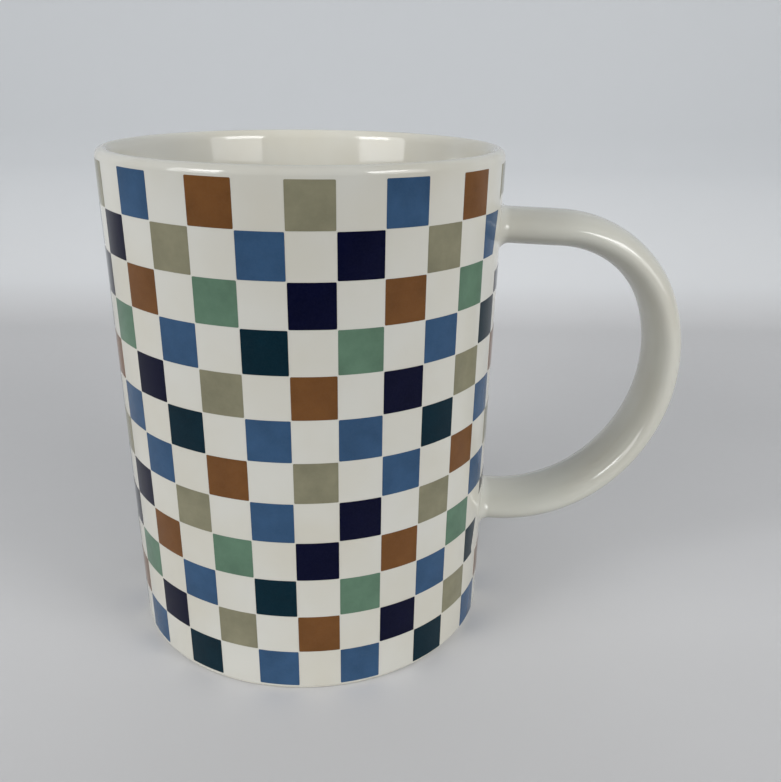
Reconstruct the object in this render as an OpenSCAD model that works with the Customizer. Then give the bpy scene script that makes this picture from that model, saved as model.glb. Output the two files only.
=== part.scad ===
// Straight-sided check mug with a D-shaped loop handle.
// Origin: centre of the foot, on the surface the mug stands on. +Z is up, +X points to the handle.

/* [Cup] */
// Overall height from the foot to the crest of the lip
mug_h = 108.6; // [90:0.2:125]
// Outside radius of the glazed wall, measured at the height of the lip
rim_r = 42.5; // [38:0.5:48]
// Outward lean of the wall: millimetres of radius gained per millimetre of height
draft = 0.0128; // [0:0.0008:0.02]
// Thickness of the fired clay wall at the lip
clay_wall = 2.7; // [2:0.1:4]
// How much thicker the wall is below the lip; the extra is all on the inside
lip_taper = 0.9; // [0.4:0.1:1.2]
// Height over which the lip thins
taper_h = 12; // [8:1:16]
// Thickness of the glaze coat
glaze_t = 0.3; // [0.2:0.05:0.5]
// Height of the glazed floor inside the cup
floor_top = 5.4; // [4.6:0.2:8]
// Radius of the sweep between the floor and the wall inside
floor_sweep = 7; // [4:0.5:12]

/* [Foot] */
// Radius of the recess under the floor
recess_r = 35; // [30:0.5:36]
// Depth of the recess under the floor
recess_depth = 1.3; // [1:0.1:2.2]
// Radius of the worn outer corner of the bare foot
foot_corner = 0.8; // [0.4:0.1:0.8]
// Height at which the outer glaze stops
glaze_stop = 0.8; // [0.8:0.1:1.2]
// Radius of the glazed patch sunk into the recess's ceiling
well_r = 34; // [28:0.5:35]

/* [Handle] */
// Width of the glazed handle, across the loop
handle_w = 16.8; // [14:0.2:20]
// Thickness of the glazed handle, in the plane of the loop
handle_t = 7.8; // [6.6:0.2:9.6]
// Height of the handle's centre line where the top end meets the wall
handle_top = 92.2; // [88:0.2:94]
// Droop of the top leg below level, in degrees
top_droop = 2.4; // [0:0.2:5]
// Length of the straight top leg, from the wall to the first bend
top_leg = 13.5; // [10:0.5:18]
// Bend radii of the loop's centre line: top corner, back and lower corner
bend_r = [26, 38, 34]; // [20:1:44]
// Turn of the top corner and of the back, in degrees
bend_turn = [67, 65]; // [40:1:75]
// Slope of the bottom leg where it meets the wall, in degrees
bottom_rise = 3.6; // [0:0.2:6]
// Radius of the slip fillet where the handle meets the wall
fillet_r = 2.1; // [1.5:0.1:3]

/* [Printed squares] */
// Columns of squares round the mug
columns = 30; // [30:6:30]
// Rows of squares from the lip to the foot
rows = 12; // [6:1:12]
// Height of one row
row_h = 8.78; // [7:0.02:8.78]
// Clear glaze between the lip's crest and the first row
top_margin = 2; // [2:0.1:4]
// Thickness of the printed film
film_t = 0.12; // [0.1:0.01:0.2]
// Clear line between neighbouring squares
square_gap = 0.16; // [0.1:0.02:0.6]

/* [Hidden] */
$fn = 96;

// Which ink each square takes: one line per column of a six-column repeat, three inks per column.
// Even columns print on odd rows and odd columns on even rows, and the inks repeat down the mug.
INKS = [
    ["taupe", "navy", "rust"],
    ["navy", "sage", "blue"],
    ["blue", "rust", "navy"],
    ["taupe", "blue", "teal"],
    ["rust", "sage", "taupe"],
    ["blue", "teal", "blue"]];

glazed_wall = clay_wall + 2 * glaze_t;
tilt = atan(draft);
lean = tilt + atan(lip_taper / taper_h);
lip_z = mug_h - glazed_wall / 2;
taper_z = lip_z - taper_h;
sweep_z = floor_top + floor_sweep;
well_z = recess_depth + glaze_t;
far = 2 * mug_h;

// Radius of the middle of the lip's wall carried down to height z. A wall that is t thick at the lip
// reaches from inner_r, which is set in by the taper, to outer_r.
function mid_r(z) = rim_r - glazed_wall / 2 / cos(tilt) - draft * (mug_h - z);
function outer_r(z, t) = mid_r(z) + t / 2 / cos(tilt);
function inner_r(z, t) = mid_r(z) - t / 2 / cos(tilt) - lip_taper;

// Centres of the lip's nose, of the foot's corner and of the sweep from the wall to the floor inside.
lip = [mid_r(lip_z), lip_z];
foot = [outer_r(foot_corner, clay_wall) - foot_corner / cos(tilt), foot_corner];
sweep = [inner_r(sweep_z, glazed_wall) - floor_sweep / cos(tilt), sweep_z];

// Points along an arc about c from one direction to another.
arc_steps = 10;
function arc(c, r, from, to) =
    [for (i = [0:arc_steps]) let (a = from + (to - from) * i / arc_steps) c + r * [cos(a), sin(a)]];
function reversed(list) = [for (i = [len(list) - 1:-1:0]) list[i]];

// Half outlines of the cup's skin, which stands off the clay by grow: from the wall outside to the
// crest of the lip, and on from the crest down to the middle of the floor.
function outside(grow) = arc(lip, clay_wall / 2 + grow, -tilt, 90);
function inside(grow) =
    let (r = floor_sweep + glaze_t - grow)
    concat(arc(lip, clay_wall / 2 + grow, 90, 180 - lean),
        [[inner_r(taper_z, clay_wall + 2 * grow), taper_z]], arc(sweep, r, -tilt, -90),
        [[0, sweep[1] - r]]);

module mug_body() {
    color("antiquewhite") rotate_extrude()
        polygon(concat(arc(foot, foot_corner, -90, -tilt), outside(0), inside(0),
            [[0, well_z], [well_r, well_z], [well_r, recess_depth], [recess_r, recess_depth],
                [recess_r, 0]]));
}

module inner_glaze() {
    color("floralwhite") rotate_extrude() polygon(concat(inside(glaze_t), reversed(inside(0))));
}

module outer_glaze() {
    color("ivory") difference() {
        rotate_extrude()
            polygon(concat([[outer_r(glaze_stop, glazed_wall), glaze_stop]], outside(glaze_t),
                reversed(outside(0)), [[outer_r(glaze_stop, clay_wall), glaze_stop]]));
        for (root = [upper_root, lower_root])
            translate([0, 0, root[0][1]]) rotate([90, 0, 90]) linear_extrude(height = far)
                polygon([for (t = around) oval(t, 1, fillet_r)]);
    }
}

module foot_well_glaze() {
    color("snow") translate([0, 0, recess_depth]) cylinder(r = well_r, h = glaze_t);
}

// ---- Handle ----

// The loop's centre line lies in the XZ plane. A heading a is measured in degrees below +X.
function ahead(a) = [cos(a), -sin(a)];
function inward(a) = [-sin(a), -cos(a)];

turn_1 = top_droop + bend_turn[0];
turn_2 = turn_1 + bend_turn[1];
turn_3 = 180 + bottom_rise;
start = [rim_r, handle_top];
bend_1 = start + top_leg * ahead(top_droop);
centre_1 = bend_1 + bend_r[0] * inward(top_droop);
centre_2 = centre_1 + (bend_r[1] - bend_r[0]) * inward(turn_1);
centre_3 = centre_2 + (bend_r[2] - bend_r[1]) * inward(turn_2);
end_3 = centre_3 - bend_r[2] * inward(turn_3);

// Each root is a point on a leg's centre line near the wall and that leg's slope going outwards.
upper_root = [start, top_droop];
lower_root = [end_3 + (end_3[0] - rim_r) / cos(bottom_rise) * ahead(turn_3), bottom_rise];

// Points round the oval, and the shares of its size used for the rings that close its ends.
sides = 28;
around = [for (i = [0:sides - 1]) 360 * i / sides];
closing = [0.25, 0.5, 0.75, 1];

// A point of the oval: half its size times share, and then grown outwards by grow.
// The first value lies across the loop, along Y, and the second through its thickness.
function oval(t, share, grow) =
    [(share * handle_w / 2 + grow) * cos(t), (share * handle_t / 2 + grow) * sin(t)];

// The ring of the oval round centre-line point p with heading a.
function ring(p, a, grow) = [for (t = around)
    let (o = oval(t, 1, grow), q = p + o[1] * inward(a))
    [q[0], o[0], q[1]]];

// The same ring slid along its leg until each point is lift away from a wall of thickness wall.
function wall_ring(root, share, grow, lift, wall) = [for (t = around)
    let (o = oval(t, share, grow), q = root[0] + o[1] * inward(root[1]),
        x = sqrt(pow(outer_r(q[1], wall), 2) - o[0] * o[0]),
        p = q + ((x - q[0]) / cos(root[1]) + lift) * ahead(root[1]))
    [p[0], o[0], p[1]]];

// Rings along one bend of the loop about c, from heading a to heading b.
bend_step = 6;
function bend_rings(c, r, a, b, grow) =
    let (n = ceil((b - a) / bend_step))
    [for (i = [0:n]) let (h = a + (b - a) * i / n) ring(c - r * inward(h), h, grow)];

// All the rings of the loop between its two roots.
function loop_rings(grow) = concat(
    [wall_ring(upper_root, 1, grow, 0, glazed_wall)],
    bend_rings(centre_1, bend_r[0], top_droop, turn_1, grow),
    bend_rings(centre_2, bend_r[1], turn_1 + bend_step, turn_2, grow),
    bend_rings(centre_3, bend_r[2], turn_2 + bend_step, turn_3, grow),
    [wall_ring([lower_root[0], turn_3], 1, grow, 0, glazed_wall)]);

// A closed solid through a row of rings: capped at both ends, or joined end to end when looped.
module skin(rings, looped = false) {
    n = len(rings);
    last = looped ? n - 1 : n - 2;
    walls = [for (i = [0:last], k = [0:sides - 1])
        let (a = i * sides, b = (i + 1) % n * sides, m = (k + 1) % sides)
        each [[a + k, b + m, b + k], [a + k, a + m, b + m]]];
    caps = looped ? [] : [[for (k = [sides - 1:-1:0]) k], [for (k = [0:sides - 1]) (n - 1) * sides + k]];
    polyhedron(points = [for (r = rings) each r], faces = concat(walls, caps), convexity = 6);
}

// Rings that close an end of the clay handle on the wall.
function end_rings(root) = [for (f = closing) wall_ring(root, f, -glaze_t * f, 0, glazed_wall)];

module handle() {
    rings = loop_rings(-glaze_t);
    body = [for (i = [1:len(rings) - 2]) rings[i]];
    color("linen")
        skin(concat(end_rings(upper_root), body, reversed(end_rings([lower_root[0], turn_3]))));
}

module handle_glaze() {
    color("ivory") skin(concat(loop_rings(0), reversed(loop_rings(-glaze_t))), looped = true);
}

// Slip that lutes one end of the handle to the clay wall: a pad under the handle's end and a
// concave fillet round it, drawn as rings from the middle of the pad out, up the fillet and back.
module slip_joint(root) {
    steps = 6;
    pad = [for (f = closing) wall_ring(root, f, fillet_r * f, 0, clay_wall)];
    fillet = [for (i = [0:steps])
        let (a = 90 * i / steps)
        wall_ring(root, 1, fillet_r * (1 - sin(a)), fillet_r * (1 - cos(a)), glazed_wall)];
    seat = [for (f = closing) wall_ring(root, f, 0, 0, glazed_wall)];
    skin(concat(pad, fillet, reversed(seat)));
}

module upper_handle_joint() {
    color("ivory") slip_joint(upper_root);
}

module lower_handle_joint() {
    color("ivory") slip_joint(lower_root);
}

// ---- Printed squares ----

column_turn = 360 / columns;
gap_turn = square_gap / rim_r * 180 / PI;
first_top = mug_h - top_margin;

// The print is left clear round both ends of the handle: how far above and below the leg's centre
// line each clear window reaches, its half width at the top and at the bottom, and its corner radius.
window_up = 8;
window_down = 7.6;
window_top = 14;
window_bottom = 16.5;
window_corner = 3;

// Points round one rounded corner of the window: its centre, then the directions it turns between.
function corner_arc(x, y, from, to) =
    [for (i = [0:5]) let (a = from + (to - from) * i / 5) [x, y] + window_corner * [cos(a), sin(a)]];

module root_window(z) {
    high = window_up - window_corner;
    low = window_corner - window_down;
    wide = window_top - window_corner;
    wider = window_bottom - window_corner;
    translate([0, 0, z]) rotate([90, 0, 90]) linear_extrude(height = far)
        polygon(concat(corner_arc(wide, high, 0, 90), corner_arc(-wide, high, 90, 180),
            corner_arc(-wider, low, 180, 270), corner_arc(wider, low, 270, 360)));
}

// One square of printed film, column c counted from the side at -Y and row r from the lip.
module square_film(c, r) {
    top = first_top - (r - 1) * row_h - square_gap / 2;
    low = top - row_h + square_gap;
    rotate([0, 0, column_turn * c - 90 + gap_turn / 2]) rotate_extrude(angle = column_turn - gap_turn)
        polygon([[outer_r(low, glazed_wall), low], [outer_r(low, glazed_wall) + film_t, low],
            [outer_r(top, glazed_wall) + film_t, top], [outer_r(top, glazed_wall), top]]);
}

function ink_at(c, r) = INKS[c % 6][floor((r - 1) / 2) % 3];

// Whether a square reaches the clear window about height z, and whether the window swallows it.
function side_of(c) = abs(column_turn * (c + 0.5) - 90);
function meets_window(c) = side_of(c) < column_turn * 2.5;
function swallowed(c, r, z) =
    side_of(c) < column_turn && first_top - (r - 1) * row_h < z + window_up
    && first_top - r * row_h > z - window_down;

module squares(ink) {
    for (c = [0:columns - 1], r = [1:rows])
        if ((r - 1 + c) % 2 == 0 && ink_at(c, r) == ink
                && !swallowed(c, r, upper_root[0][1]) && !swallowed(c, r, lower_root[0][1])) {
            if (meets_window(c)) difference() {
                square_film(c, r);
                root_window(upper_root[0][1]);
                root_window(lower_root[0][1]);
            }
            else square_film(c, r);
        }
}

module blue_squares() {
    color("steelblue") squares("blue");
}

module navy_squares() {
    color("midnightblue") squares("navy");
}

module rust_squares() {
    color("sienna") squares("rust");
}

module taupe_squares() {
    color([0.64, 0.6, 0.5]) squares("taupe");
}

module sage_squares() {
    color("darkseagreen") squares("sage");
}

module teal_squares() {
    color([0.02, 0.24, 0.27]) squares("teal");
}

mug_body();
handle();
upper_handle_joint();
lower_handle_joint();
inner_glaze();
outer_glaze();
foot_well_glaze();
handle_glaze();
blue_squares();
navy_squares();
rust_squares();
taupe_squares();
sage_squares();
teal_squares();
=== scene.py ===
"""Straight-sided check mug: the looks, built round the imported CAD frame.

Meshes are drawn in millimetres and brought to metres when each piece is made.
The Z axis runs up the middle of the cup, and +X points to the handle.
"""
import math

import bmesh
import bpy
from mathutils import Matrix, Vector


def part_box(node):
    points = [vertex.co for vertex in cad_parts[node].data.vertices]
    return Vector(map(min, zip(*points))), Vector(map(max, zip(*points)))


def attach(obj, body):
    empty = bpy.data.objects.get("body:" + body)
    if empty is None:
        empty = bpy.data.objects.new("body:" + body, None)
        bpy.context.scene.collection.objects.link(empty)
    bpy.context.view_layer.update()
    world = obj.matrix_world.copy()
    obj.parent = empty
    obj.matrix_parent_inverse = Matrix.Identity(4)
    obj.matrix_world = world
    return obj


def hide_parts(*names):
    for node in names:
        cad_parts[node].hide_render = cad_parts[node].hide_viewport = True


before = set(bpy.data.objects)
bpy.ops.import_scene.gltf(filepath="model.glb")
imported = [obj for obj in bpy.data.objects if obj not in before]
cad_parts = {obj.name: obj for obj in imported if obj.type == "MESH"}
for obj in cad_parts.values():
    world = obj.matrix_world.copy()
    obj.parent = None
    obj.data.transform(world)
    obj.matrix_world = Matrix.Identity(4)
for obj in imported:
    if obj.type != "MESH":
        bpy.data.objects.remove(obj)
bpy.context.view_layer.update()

MM = 0.001
BODY = "root"

# ---- Sizes, in millimetres: the frame gives the outer ones, and the rest repeat the part's values
# unless their comment says otherwise ----

glaze_lo, glaze_hi = (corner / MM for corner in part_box("outer_glaze"))
well_lo, well_hi = (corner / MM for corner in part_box("foot_well_glaze"))
handle_lo, handle_hi = (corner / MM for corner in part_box("handle_glaze"))
floor_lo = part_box("inner_glaze")[0] / MM

MUG_H = glaze_hi.z
WALL_R = glaze_hi.y                  # outside radius of the glazed wall just under the lip
DRAFT = 0.0128                       # radius gained per millimetre of height
GLAZE = 0.3                          # glaze coat
WALL = 3.3                           # glazed wall at the lip
LIP_FALL = 3.2                       # height of the lip's oval inner side; the part has a round one
LIP_TAPER = 0.9                      # how much thicker the wall is below the lip
TAPER_H = 12                         # height over which the wall thins towards the lip
FLOOR_SWEEP = 7                      # radius between the floor and the wall inside
GLAZE_STOP = glaze_lo.z              # height at which the outer glaze ends above the bare foot
FOOT_CORNER = 0.8
WELL_MARGIN = 1                      # bare clay between the glaze patch and the recess's side
RECESS_R = well_hi.x + WELL_MARGIN
RECESS_D = well_lo.z
FLOOR_TOP = floor_lo.z + GLAZE
RECESS_EDGE = 0.3                    # softened edges of the bare clay, which the part leaves sharp
FOOT_EDGE = 0.25

HANDLE_W = handle_hi.y - handle_lo.y
HANDLE_T = 7.7                       # 0.1 under the part's, to stay inside the CAD box
HANDLE_TOP = 92.2                    # height of the loop's centre line at its upper root
LEG_START = 42.5                     # radius at which the top leg starts
TOP_DROOP = math.radians(2.4)
TOP_LEG = 13.5
BEND_R = (26, 38, 34)
BEND_TURN = (math.radians(67), math.radians(65))
BOTTOM_RISE = math.radians(3.6)
FILLET_R = 2.1

COLUMNS = 30
ROWS = 12
ROW_H = 8.78
TOP_MARGIN = 2.0
SQUARE_GAP = 0.16
FILM = 0.04                          # how far the print stands proud; the part's film is thicker
PRINT_LEAN = math.tan(math.radians(0.41))   # the print sits lower on the handle's side; not in the part
SQUARE_CORNER = 0.22                 # rounding of a square's corners; not in the part

# The clear windows in the print round the handle's roots.
WINDOW_UP = 8
WINDOW_DOWN = 7.6
WINDOW_TOP = 14
WINDOW_BOTTOM = 16.5
WINDOW_CORNER = 3
WINDOW_REACH = 31         # degrees to either side of the handle in which squares may need cutting

# The inks of a six-column repeat, three a column, down the mug.
INKS = (("taupe", "navy", "rust"), ("navy", "sage", "blue"), ("blue", "rust", "navy"),
        ("taupe", "blue", "teal"), ("rust", "sage", "taupe"), ("blue", "teal", "blue"))

TILT = math.atan(DRAFT)
LIP_R = WALL / 2
LIP_Z = MUG_H - LIP_R


def outer_r(z, inset=0.0):
    """Outside radius of the wall at height z, set in by inset."""
    return WALL_R - DRAFT * (LIP_Z - z) - inset / math.cos(TILT)


# ---- Meshes ----

AXIS_NEAR = 1e-6          # a radius below this lies on the axis
NOSE_STEPS = 20

def arc(centre, radius, start, end, steps):
    """Points of an arc in the half section, with its angles in degrees."""
    turn = [math.radians(start + (end - start) * i / steps) for i in range(steps + 1)]
    return [(centre[0] + radius * math.cos(a), centre[1] + radius * math.sin(a)) for a in turn]


def line(a, b, steps):
    """Points strictly between a and b."""
    return [tuple(p + (q - p) * i / steps for p, q in zip(a, b)) for i in range(1, steps)]


def finished(name, bm, material, replaces, sharp=40):
    """Turns a bmesh in millimetres into a piece that rides with the mug."""
    bmesh.ops.recalc_face_normals(bm, faces=bm.faces)
    bmesh.ops.scale(bm, vec=(MM, MM, MM), verts=bm.verts)
    mesh = bpy.data.meshes.new(name)
    bm.to_mesh(mesh)
    bm.free()
    mesh.shade_smooth()
    mesh.set_sharp_from_angle(angle=math.radians(sharp))
    mesh.materials.append(material)
    piece = bpy.data.objects.new(name, mesh)
    bpy.context.scene.collection.objects.link(piece)
    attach(piece, BODY)
    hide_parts(*replaces)


def lathe(section, segments=360):
    """A closed half section turned about the Z axis. Points on the axis become one vertex."""
    bm = bmesh.new()
    rings = []
    for r, z in section:
        if r < AXIS_NEAR:
            rings.append([bm.verts.new((0, 0, z))] * segments)
            continue
        turns = [2 * math.pi * i / segments for i in range(segments)]
        rings.append([bm.verts.new((r * math.cos(t), r * math.sin(t), z)) for t in turns])
    for a, b in zip(rings, rings[1:] + rings[:1]):
        for i in range(segments):
            j = (i + 1) % segments
            corners = list(dict.fromkeys((a[i], a[j], b[j], b[i])))
            if len(corners) > 2:
                bm.faces.new(corners)
    return bm


def tube(rings, looped=False):
    """A skin through a row of rings of equal length: capped at both ends, or joined end to end."""
    bm = bmesh.new()
    made = [[bm.verts.new(p) for p in ring] for ring in rings]
    pairs = list(zip(made, made[1:]))
    if looped:
        pairs.append((made[-1], made[0]))
    for a, b in pairs:
        for i in range(len(a)):
            j = (i + 1) % len(a)
            bm.faces.new((a[i], a[j], b[j], b[i]))
    if not looped:
        bm.faces.new(made[0])
        bm.faces.new(made[-1])
    return bm


# ---- Cup ----

def lip_centre():
    return (outer_r(LIP_Z) - LIP_R / math.cos(TILT), LIP_Z)


def outside(grow):
    """The cup's outside, grow away from the clay, from near the foot to the crest of the lip."""
    radius = LIP_R - GLAZE + grow
    foot = (outer_r(GLAZE_STOP + GLAZE, GLAZE - grow), GLAZE_STOP + GLAZE)
    nose = arc(lip_centre(), radius, -math.degrees(TILT), 90, NOSE_STEPS)
    return [foot] + line(foot, nose[0], 40) + nose


def inside(grow):
    """The cup's inside, grow away from the clay, from the crest of the lip to the middle of the floor."""
    radius = LIP_R - GLAZE + grow
    lean = TILT + math.atan(2 * LIP_TAPER / TAPER_H)
    fall = LIP_FALL - GLAZE + grow
    middle, top = lip_centre()[0], lip_centre()[1] + radius
    end = math.atan(math.tan(lean) * fall / radius)
    turns = [math.pi / 2 + (math.pi / 2 - end) * i / NOSE_STEPS for i in range(1, NOSE_STEPS + 1)]
    nose = [(middle + radius * math.cos(t), top - fall * (1 - math.sin(t))) for t in turns]

    def straight(z):
        return outer_r(z, WALL - GLAZE + grow) - LIP_TAPER

    end_r, end_z = nose[-1]
    low_z = LIP_Z - TAPER_H
    taper = []
    steps = 14
    for i in range(1, steps + 1):
        z = end_z + (low_z - end_z) * i / steps
        share = (1 - i / steps) ** 2
        taper.append((straight(z) + (end_r - straight(end_z)) * share, z))
    sweep_z = FLOOR_TOP + FLOOR_SWEEP
    sweep = (outer_r(sweep_z, WALL + FLOOR_SWEEP) - LIP_TAPER, sweep_z)
    bend = arc(sweep, FLOOR_SWEEP + GLAZE - grow, -math.degrees(TILT), -90, 20)
    wall = line(taper[-1], bend[0], 30)
    return nose + taper + wall + bend + line(bend[-1], (0, bend[-1][1]), 12) + [(0, bend[-1][1])]


def clay_cup():
    """The fired clay cup, bare at the foot ring and under the floor."""
    corner = (outer_r(FOOT_CORNER, GLAZE + FOOT_CORNER), FOOT_CORNER)
    well = [(0, well_hi.z), (well_hi.x, well_hi.z), (well_hi.x, RECESS_D),
            (RECESS_R - RECESS_EDGE, RECESS_D), (RECESS_R, RECESS_D - RECESS_EDGE),
            (RECESS_R, FOOT_EDGE), (RECESS_R + FOOT_EDGE, 0)]
    return arc(corner, FOOT_CORNER, -90, -math.degrees(TILT), 8) + outside(0) + inside(0) + well


def coat():
    """The white glaze inside and out, in one skin over the lip, with a rolled edge above the foot."""
    edge = (outer_r(GLAZE_STOP + GLAZE, GLAZE), GLAZE_STOP + GLAZE)
    roll = arc(edge, GLAZE, -90, -math.degrees(TILT), 6)[:-1]
    return roll + outside(GLAZE) + inside(GLAZE) + inside(0)[::-1] + outside(0)[::-1]


def well_glaze():
    """The thin pool of glaze under the floor, with a rounded edge."""
    edge = (well_hi.x - GLAZE, RECESS_D + GLAZE)
    return [(0, RECESS_D)] + arc(edge, GLAZE, -90, 0, 5) + [(0, RECESS_D + GLAZE)]


# ---- Handle ----

def ahead(a):
    """The way along the loop, in its own plane, at a heading below +X."""
    return Vector((math.cos(a), -math.sin(a)))


def inward(a):
    """The way towards the inside of the bend at that heading."""
    return Vector((-math.sin(a), -math.cos(a)))


def centre_line():
    """Points and headings along the loop's three bends, and the two roots on the legs."""
    turns = [TOP_DROOP, TOP_DROOP + BEND_TURN[0], TOP_DROOP + sum(BEND_TURN), math.pi + BOTTOM_RISE]
    start = Vector((LEG_START, HANDLE_TOP))
    corner = start + TOP_LEG * ahead(TOP_DROOP)
    centre = corner + BEND_R[0] * inward(TOP_DROOP)
    path = [(start.lerp(corner, i / 6), TOP_DROOP) for i in range(1, 6)]
    for k, radius in enumerate(BEND_R):
        steps = 28
        for i in range(steps + 1 if k == 2 else steps):
            a = turns[k] + (turns[k + 1] - turns[k]) * i / steps
            path.append((centre - radius * inward(a), a))
        if k < 2:
            centre += (BEND_R[k + 1] - radius) * inward(turns[k + 1])
    low = path[-1][0]
    root = low + (low.x - LEG_START) / math.cos(BOTTOM_RISE) * ahead(turns[3])
    return path, (start, TOP_DROOP), (root, BOTTOM_RISE)


SIDES = 72
ROUND = [2 * math.pi * i / SIDES for i in range(SIDES)]
PATH, UPPER, LOWER = centre_line()


def oval(t, grow):
    return ((HANDLE_W / 2 + grow) * math.cos(t), (HANDLE_T / 2 + grow) * math.sin(t))


def loop_ring(p, a, grow):
    """The oval round a centre-line point."""
    out = []
    for t in ROUND:
        across, through = oval(t, grow)
        q = p + through * inward(a)
        out.append((q.x, across, q.y))
    return out


def wall_ring(root, grow, lift, flip=False):
    """The oval slid along its leg until it stands lift off the wall."""
    p, slope = root
    heading = slope + math.pi if flip else slope
    out = []
    for t in ROUND:
        across, through = oval(t, grow)
        q = p + through * inward(heading)
        x = math.sqrt(outer_r(q.y) ** 2 - across ** 2)
        q += ((x - q.x) / math.cos(slope) + lift) * ahead(slope)
        out.append((q.x, across, q.y))
    return out


def loop_rings(grow):
    rings = [wall_ring(UPPER, grow, 0)]
    rings += [loop_ring(p, a, grow) for p, a in PATH]
    return rings + [wall_ring(LOWER, grow, 0, flip=True)]


def fillet_rings(root):
    """The concave fillet of slip and glaze round a root, closed behind against wall and handle."""
    under, sunk, steps = 0.4, 0.03, 14
    rings = [wall_ring(root, FILLET_R + under, -sunk)]
    for i in range(steps + 1):
        a = math.pi / 2 * i / steps
        rings.append(wall_ring(root, FILLET_R * (1 - math.sin(a)), FILLET_R * (1 - math.cos(a))))
    rings.append(wall_ring(root, -sunk, FILLET_R + under))
    rings.append(wall_ring(root, -GLAZE, FILLET_R + under))
    rings.append(wall_ring(root, -GLAZE, -GLAZE))
    rings.append(wall_ring(root, FILLET_R + under, -GLAZE))
    return rings


# ---- Printed squares ----

def ink_at(column, row):
    column_inks = INKS[column % len(INKS)]
    return column_inks[(row // 2) % len(column_inks)]


def square(bm, column, row):
    """One printed square: a thin film on the wall with slightly rounded corners.
    Columns count from -Y anticlockwise seen from above, and rows from 0 at the lip."""
    top = MUG_H - TOP_MARGIN - row * ROW_H - SQUARE_GAP / 2
    low = top - ROW_H + SQUARE_GAP
    turn = 2 * math.pi / COLUMNS
    gap = SQUARE_GAP / WALL_R
    left = turn * column - math.pi / 2 + gap / 2
    right = left + turn - gap
    bend = [SQUARE_CORNER * (1 - math.cos(math.radians(a))) for a in (0, 30, 60, 90)]
    levels = [low + d for d in bend] + [low + (top - low) * i / 6 for i in range(1, 6)]
    levels += [top - d for d in reversed(bend)]
    across = 12
    skins = []
    for proud in (-GLAZE / 2, FILM):
        rows = []
        for z in levels:
            d = min(z - low, top - z, SQUARE_CORNER)
            cut = SQUARE_CORNER - math.sqrt(SQUARE_CORNER ** 2 - (SQUARE_CORNER - d) ** 2)
            a, b = left + cut / WALL_R, right - cut / WALL_R
            line_of = []
            for i in range(across + 1):
                t = a + (b - a) * i / across
                x, y = math.cos(t), math.sin(t)
                down = z - PRINT_LEAN * WALL_R * x
                r = outer_r(down) + proud
                line_of.append(bm.verts.new((r * x, r * y, down)))
            rows.append(line_of)
        skins.append(rows)
    back, front = skins
    for j in range(len(levels) - 1):
        for i in range(across):
            bm.faces.new((front[j][i], front[j][i + 1], front[j + 1][i + 1], front[j + 1][i]))
            bm.faces.new((back[j][i], back[j + 1][i], back[j + 1][i + 1], back[j][i + 1]))
    rim = [(0, i) for i in range(across)] + [(j, across) for j in range(len(levels) - 1)]
    rim += [(len(levels) - 1, i) for i in range(across, 0, -1)]
    rim += [(j, 0) for j in range(len(levels) - 1, 0, -1)]
    for (j, i), (k, m) in zip(rim, rim[1:] + rim[:1]):
        bm.faces.new((front[j][i], back[j][i], back[k][m], front[k][m]))


def window_cutter(z):
    """A prism through the handle's side of the wall that clears the print round a root at height z."""
    def corner(x, y, start):
        return [(x + WINDOW_CORNER * math.cos(math.radians(start + 15 * i)),
                 y + WINDOW_CORNER * math.sin(math.radians(start + 15 * i))) for i in range(7)]
    high, low = WINDOW_UP - WINDOW_CORNER, WINDOW_CORNER - WINDOW_DOWN
    wide, wider = WINDOW_TOP - WINDOW_CORNER, WINDOW_BOTTOM - WINDOW_CORNER
    outline = corner(wide, high, 0) + corner(-wide, high, 90)
    outline += corner(-wider, low, 180) + corner(wider, low, 270)
    return tube([[(x, y, z + v) for y, v in outline] for x in (0, 2 * WALL_R)])


def carve(bm, cutters):
    """Takes the cutters out of a bmesh, all in millimetres, and gives a new bmesh."""
    def holder(source):
        bmesh.ops.recalc_face_normals(source, faces=source.faces)
        mesh = bpy.data.meshes.new("carving")
        source.to_mesh(mesh)
        source.free()
        obj = bpy.data.objects.new("carving", mesh)
        bpy.context.scene.collection.objects.link(obj)
        return obj
    subject = holder(bm)
    tools = [holder(c) for c in cutters]
    for tool in tools:
        cut = subject.modifiers.new("cut", "BOOLEAN")
        cut.operation, cut.object, cut.solver = "DIFFERENCE", tool, "EXACT"
    out = bmesh.new()
    out.from_object(subject, bpy.context.evaluated_depsgraph_get())
    for obj in [subject] + tools:
        bpy.data.objects.remove(obj)
    return out


def squares(ink):
    """All the squares of one ink, with the windows round the roots cut out of them."""
    bm, near = bmesh.new(), bmesh.new()
    for column in range(COLUMNS):
        for row in range(ROWS):
            if (row + column) % 2 or ink_at(column, row) != ink:
                continue
            side = abs(360 / COLUMNS * (column + 0.5) - 90)
            square(near if side < WINDOW_REACH else bm, column, row)
    carved = carve(near, [window_cutter(UPPER[0].y), window_cutter(LOWER[0].y)])
    mesh = bpy.data.meshes.new("carved")
    carved.to_mesh(mesh)
    carved.free()
    bm.from_mesh(mesh)
    bpy.data.meshes.remove(mesh)
    return bm


# ---- Materials ----

GLAZE_SPECULAR = 0.5
INK_SPECULAR = 0.1        # low, because the ink under the glaze reads dark even at grazing angles

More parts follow.
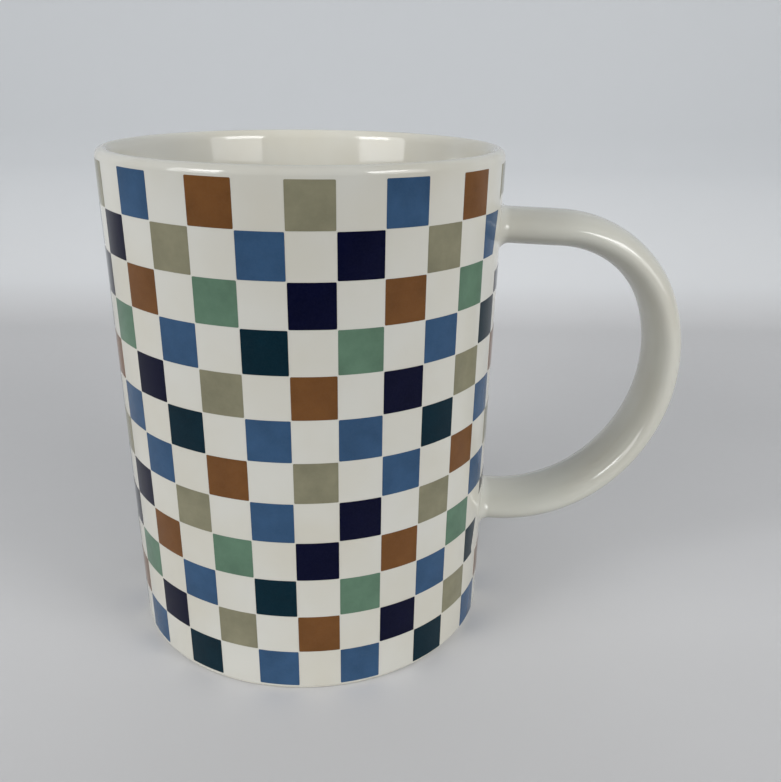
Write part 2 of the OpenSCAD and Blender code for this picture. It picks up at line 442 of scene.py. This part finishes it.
class Shader:
    """A material's node tree with short ways to add to it. Texture sizes are in millimetres."""

    def __init__(self, name):
        self.material = bpy.data.materials.new(name)
        self.material.use_nodes = True
        self.tree = self.material.node_tree
        self.main = self.tree.nodes["Principled BSDF"]
        self.place = self.tree.nodes.new("ShaderNodeTexCoord").outputs["Object"]

    def add(self, kind, inputs=(), **settings):
        node = self.tree.nodes.new(kind)
        for key, value in settings.items():
            setattr(node, key, value)
        for key, value in dict(inputs).items():
            self.set(node.inputs[key], value)
        return node

    def set(self, socket, value):
        if isinstance(value, bpy.types.NodeSocket):
            self.tree.links.new(value, socket)
        else:
            socket.default_value = value

    def noise(self, size, detail=2.0, rough=0.5):
        """Noise from 0 to 1 with features about size millimetres across."""
        return self.add("ShaderNodeTexNoise", {"Vector": self.place, "Scale": 1 / (size * MM),
                                               "Detail": detail, "Roughness": rough}).outputs["Fac"]

    def remap(self, value, low, high, to_low, to_high):
        return self.add("ShaderNodeMapRange", {"Value": value, "From Min": low, "From Max": high,
                                               "To Min": to_low, "To Max": to_high}).outputs["Result"]

    def mix(self, share, a, b):
        node = self.add("ShaderNodeMix", data_type="RGBA")
        self.set(node.inputs[0], share)
        self.set(node.inputs[6], a)
        self.set(node.inputs[7], b)
        return node.outputs[2]

    def maths(self, operation, a, b):
        node = self.add("ShaderNodeMath", operation=operation)
        self.set(node.inputs[0], a)
        self.set(node.inputs[1], b)
        return node.outputs[0]

    def specks(self, spacing, size, share):
        """1 inside sparse round specks of the given size, one in the given share of cells."""
        cells = self.add("ShaderNodeTexVoronoi", {"Vector": self.place, "Scale": 1 / (spacing * MM)})
        inside = self.remap(cells.outputs["Distance"], size / spacing * 0.5, size / spacing * 0.3, 0, 1)
        parts = self.add("ShaderNodeSeparateColor", {"Color": cells.outputs["Color"]})
        chosen = self.maths("LESS_THAN", parts.outputs[0], share)
        return self.maths("MULTIPLY", inside, chosen)

    def bump(self, *layers):
        """Layers of (height from 0 to 1, depth in millimetres)."""
        normal = None
        for height, depth in layers:
            inputs = {"Height": height, "Strength": 1.0, "Distance": depth * MM}
            if normal:
                inputs["Normal"] = normal
            normal = self.add("ShaderNodeBump", inputs).outputs["Normal"]
        self.set(self.main.inputs["Normal"], normal)

    def shine(self, low, high, specular):
        """Roughness from low to high in soft patches, and the specular level."""
        self.set(self.main.inputs["Roughness"], self.remap(self.noise(14, 3), 0.35, 0.65, low, high))
        self.main.inputs["Specular IOR Level"].default_value = specular


def rgb(r, g, b):
    """A colour given as 0 to 255 values, made linear."""
    def lin(v):
        v /= 255
        return v / 12.92 if v <= 0.04045 else ((v + 0.055) / 1.055) ** 2.4
    return (lin(r), lin(g), lin(b), 1)


def glaze_material(name, tone, warm):
    """White glaze: soft drifts of tone, a fine orange peel and a few iron specks."""
    s = Shader(name)
    drift = s.remap(s.noise(22, 3), 0.35, 0.65, 0, 1)
    colour = s.mix(drift, rgb(*tone), rgb(*warm))
    fleck = s.specks(9, 0.3, 0.12)
    colour = s.mix(s.maths("MULTIPLY", fleck, 0.75), colour, rgb(128, 98, 66))
    s.set(s.main.inputs["Base Color"], colour)
    s.shine(0.05, 0.11, GLAZE_SPECULAR)
    s.bump((s.noise(5.5, 1), 0.012), (s.noise(0.9, 1), 0.0012), (fleck, -0.01))
    return s.material


def ink_material(name, tone):
    """Ink under a thin glaze: cloudy coverage, a fine screen grain and the odd pinhole."""
    s = Shader(name)
    dark = rgb(*(c * 0.93 for c in tone))
    light = rgb(*(c * 1.05 + 2 for c in tone))
    cloud = s.remap(s.noise(6, 4, 0.6), 0.3, 0.7, 0, 1)
    colour = s.mix(cloud, dark, light)
    grain = s.remap(s.noise(0.35, 2), 0.35, 0.7, 0, 0.16)
    colour = s.mix(grain, colour, rgb(*(c * 0.8 + 30 for c in tone)))
    pin = s.specks(5, 0.13, 0.1)
    colour = s.mix(pin, colour, rgb(196, 194, 184))
    s.set(s.main.inputs["Base Color"], colour)
    s.shine(0.07, 0.13, INK_SPECULAR)
    s.bump((s.noise(5.5, 1), 0.012), (s.noise(0.6, 2), 0.0016), (pin, -0.006))
    return s.material


def clay_material():
    """Bare fired clay: sandy, rough, a little stained where it has stood."""
    s = Shader("bare_clay")
    sand = s.remap(s.noise(0.5, 4, 0.65), 0.3, 0.7, 0, 1)
    colour = s.mix(sand, rgb(208, 205, 193), rgb(226, 223, 212))
    stain = s.remap(s.noise(7, 4), 0.5, 0.75, 0, 0.5)
    colour = s.mix(stain, colour, rgb(170, 164, 146))
    colour = s.mix(s.specks(2.2, 0.35, 0.25), colour, rgb(132, 122, 104))
    s.set(s.main.inputs["Base Color"], colour)
    s.set(s.main.inputs["Roughness"], s.remap(sand, 0, 1, 0.7, 0.9))
    s.main.inputs["Specular IOR Level"].default_value = 0.3
    s.bump((s.noise(1.4, 3), 0.05), (sand, 0.03))
    return s.material


def paper_material(name, tone, front_shade_tone, near_edge, far_edge):
    """Plain pale studio surface with a faint tooth: tone near the mug, a darker tone in front of it as
    painted shadow, a painted band of light where it starts to rise, and the backdrop's tone, painted
    darker as shade, higher up."""
    s = Shader(name)
    cloud = s.remap(s.noise(60, 3), 0.3, 0.7, 0, 1)
    colour = s.mix(cloud, rgb(*(c * 0.993 for c in tone)), rgb(*tone))
    along = s.add("ShaderNodeSeparateXYZ", {"Vector": s.place}).outputs["Y"]
    # The paper falls to a darker tone in front of the mug: painted shadow.
    colour = s.mix(s.remap(along, far_edge, near_edge, 1, 0), colour, rgb(*front_shade_tone))
    up = s.add("ShaderNodeSeparateXYZ", {"Vector": s.place}).outputs["Z"]
    # A brighter band where the paper starts to rise: painted light.
    colour = s.mix(s.remap(up, RISE_START, RISE_END, 0, 1), colour, rgb(*RISE_LIGHT_TONE))
    # The backdrop turns darker higher up: painted shade.
    colour = s.mix(s.remap(up, BACK_START, BACK_END, 0, 1), colour, rgb(*BACK_SHADE_TONE))
    s.set(s.main.inputs["Base Color"], colour)
    s.set(s.main.inputs["Roughness"], s.remap(s.noise(3, 3), 0.3, 0.7, 0.5, 0.6))
    s.main.inputs["Specular IOR Level"].default_value = 0.25
    s.bump((s.noise(0.8, 3), 0.008))
    return s.material


# ---- Build the mug ----

clay = clay_material()
white = glaze_material("white_glaze", (205, 204, 196), (201, 198, 186))
# The handle and its root fillets get a darker copy of the white glaze: painted shade on the handle.
handle_shaded_white = glaze_material("handle_glaze_painted_shade", (194, 194, 185), (190, 188, 177))

finished("clay_cup", lathe(clay_cup()), clay, ["mug_body"])
finished("white_glaze_coat", lathe(coat()), white, ["inner_glaze", "outer_glaze"])
finished("foot_glaze_pool", lathe(well_glaze(), 180), white, ["foot_well_glaze"])
finished("clay_handle_core", tube(loop_rings(-GLAZE)), clay, ["handle"])
finished("handle_glaze_skin", tube(loop_rings(0) + loop_rings(-GLAZE)[::-1], looped=True),
         handle_shaded_white, ["handle_glaze"])
finished("upper_root_fillet", tube(fillet_rings(UPPER), looped=True), handle_shaded_white,
         ["upper_handle_joint"])
finished("lower_root_fillet", tube(fillet_rings(LOWER), looped=True), handle_shaded_white,
         ["lower_handle_joint"])

INK_TONES = {"blue": (50, 79, 111), "navy": (0, 3, 33), "rust": (107, 70, 37),
             "taupe": (127, 124, 102), "sage": (89, 118, 98), "teal": (0, 31, 43)}
for ink_name, ink_tone in INK_TONES.items():
    finished(ink_name + "_print", squares(ink_name), ink_material(ink_name + "_ink", ink_tone),
             [ink_name + "_squares"], sharp=30)


# ---- Studio: floor, backdrop, lights and camera, in metres ----

FLOOR_TONE = (204, 204, 205)
# Brighter tone of the paper where it starts to rise: painted light.
RISE_LIGHT_TONE = (210, 212, 214)
# Darker tone of the backdrop higher up: painted shade; the flag board takes it too.
BACK_SHADE_TONE = (188, 191, 194)
RISE_START, RISE_END = 0.0, 0.012      # heights between which the paper is painted brighter where it starts to rise: painted light
BACK_START, BACK_END = 0.015, 0.07      # heights between which it turns to the backdrop's tone, painted darker higher up as shade
SWEEP_START = 0.22       # where the floor starts to rise behind the mug
SWEEP_R = 0.09
STAGE_HALF = 1.6
WALL_TOP = 1.3
FRONT_EDGE = -1.2
# Dark tone the paper falls to in front of the mug: painted shadow.
FRONT_SHADE_TONE = (92, 92, 94)
FLAG_HALF, FLAG_LOW, FLAG_HIGH, FLAG_Y = 0.145, 0.118, 0.7, -0.195
DIM_START, DIM_END = -0.02, -0.42    # where the paper starts and ends its fall to the front tone, a painted shadow towards the camera

# The photograph's camera, as fitted to it: millimetres, radians, and a lens in millimetres.
CAMERA_PLACE = Vector((16.14, -184.51, 124.35))
CAMERA_YAW, CAMERA_PITCH, CAMERA_ROLL = math.radians(0.88), 0.3711, 0.0139
LENS = 38.62

# Light panels: azimuth and elevation in degrees, distance, width, height and power in watts.
PANELS = {"left_softbox": (-50, 20, 0.8, 0.56, 0.5, 3.35),
          "left_core": (-46, 27, 0.78, 0.32, 0.2, 1.6),
          "right_softbox": (48.5, 20, 0.8, 0.68, 0.5, 2.95),
          "right_core": (46, 27, 0.78, 0.42, 0.2, 1.9)}


def stage_sweep():
    """One seamless sheet: floor, a curved rise behind the mug and a backdrop."""
    steps = 24
    profile = [(FRONT_EDGE, 0.0)]
    for i in range(steps + 1):
        a = math.pi / 2 * i / steps
        profile.append((SWEEP_START + SWEEP_R * math.sin(a), SWEEP_R * (1 - math.cos(a))))
    profile.append((SWEEP_START + SWEEP_R, WALL_TOP))
    bm = bmesh.new()
    rows = [[bm.verts.new((x, y, z)) for x in (-STAGE_HALF, STAGE_HALF)] for y, z in profile]
    for a, b in zip(rows, rows[1:]):
        bm.faces.new((a[0], a[1], b[1], b[0]))
    mesh = bpy.data.meshes.new("floor_sweep")
    bm.to_mesh(mesh)
    bm.free()
    mesh.shade_smooth()
    mesh.materials.append(paper_material("paper_sweep", FLOOR_TONE, FRONT_SHADE_TONE, DIM_START, DIM_END))
    obj = bpy.data.objects.new("floor_sweep", mesh)
    bpy.context.scene.collection.objects.link(obj)


def flag():
    """A board above and behind the camera, unseen by it, that keeps some light off the mug's front.
    It has the backdrop's pale tone, and it looks dark from the mug because that side is in shade."""
    bm = bmesh.new()
    corners = ((-FLAG_HALF, FLAG_LOW), (FLAG_HALF, FLAG_LOW),
               (FLAG_HALF, FLAG_HIGH), (-FLAG_HALF, FLAG_HIGH))
    bm.faces.new([bm.verts.new((x, FLAG_Y, z)) for x, z in corners])
    mesh = bpy.data.meshes.new("dark_flag")
    bm.to_mesh(mesh)
    bm.free()
    mesh.materials.append(paper_material("flag_board", BACK_SHADE_TONE, BACK_SHADE_TONE, 1, 0))
    obj = bpy.data.objects.new("dark_flag", mesh)
    bpy.context.scene.collection.objects.link(obj)
    obj.visible_camera = False


def softbox(name, azimuth, elevation, distance, width, height, power):
    """A rectangular area light facing the rim. Azimuth 0 is in front, at -Y, and 90 is at +X."""
    light = bpy.data.lights.new(name, "AREA")
    light.shape, light.size, light.size_y = "RECTANGLE", width, height
    light.energy = power
    obj = bpy.data.objects.new(name, light)
    bpy.context.scene.collection.objects.link(obj)
    a, e = math.radians(azimuth), math.radians(elevation)
    away = Vector((math.sin(a) * math.cos(e), -math.cos(a) * math.cos(e), math.sin(e)))
    target = Vector((0, 0, MUG_H * MM))
    obj.location = target + away * distance
    obj.rotation_mode = "QUATERNION"
    obj.rotation_quaternion = away.to_track_quat("Z", "Y")
    obj.visible_camera = False


def dome(strong, weak, toward, tint):
    """Soft room light: strong in the direction toward, and weak opposite it."""
    world = bpy.data.worlds.new("room")
    bpy.context.scene.world = world
    world.use_nodes = True
    tree = world.node_tree
    back = tree.nodes["Background"]
    way = tree.nodes.new("ShaderNodeTexCoord").outputs["Generated"]
    dot = tree.nodes.new("ShaderNodeVectorMath")
    dot.operation = "DOT_PRODUCT"
    tree.links.new(way, dot.inputs[0])
    dot.inputs[1].default_value = Vector(toward).normalized()
    ramp = tree.nodes.new("ShaderNodeMapRange")
    ramp.interpolation_type = "SMOOTHSTEP"
    ramp.inputs["From Min"].default_value, ramp.inputs["From Max"].default_value = -0.3, 0.9
    ramp.inputs["To Min"].default_value, ramp.inputs["To Max"].default_value = weak, strong
    tree.links.new(dot.outputs["Value"], ramp.inputs["Value"])
    tree.links.new(ramp.outputs["Result"], back.inputs["Strength"])
    back.inputs["Color"].default_value = (*tint, 1)


def camera():
    """The photograph's camera: just in front of the mug, looking down on it at 21 degrees."""
    level = math.cos(CAMERA_PITCH)
    view = Vector((math.sin(CAMERA_YAW) * level, math.cos(CAMERA_YAW) * level, -math.sin(CAMERA_PITCH)))
    right = view.cross(Vector((0, 0, 1))).normalized()
    up = right.cross(view)
    across = math.cos(CAMERA_ROLL) * right + math.sin(CAMERA_ROLL) * up
    upward = across.cross(view)
    data = bpy.data.cameras.new("camera")
    data.sensor_fit, data.sensor_width, data.lens = "HORIZONTAL", 36, LENS
    data.clip_start, data.clip_end = 0.01, 20
    obj = bpy.data.objects.new("camera", data)
    bpy.context.scene.collection.objects.link(obj)
    turn = Matrix((across, upward, -view)).transposed()
    obj.matrix_world = Matrix.Translation(CAMERA_PLACE * MM) @ turn.to_4x4()
    bpy.context.scene.camera = obj


stage_sweep()
for panel, values in PANELS.items():
    softbox(panel, *values)
dome(0.36, 0.12, (0, -0.3, 0.95), (0.98, 0.99, 1.0))
flag()
camera()
bpy.context.scene.view_settings.view_transform = "Standard"
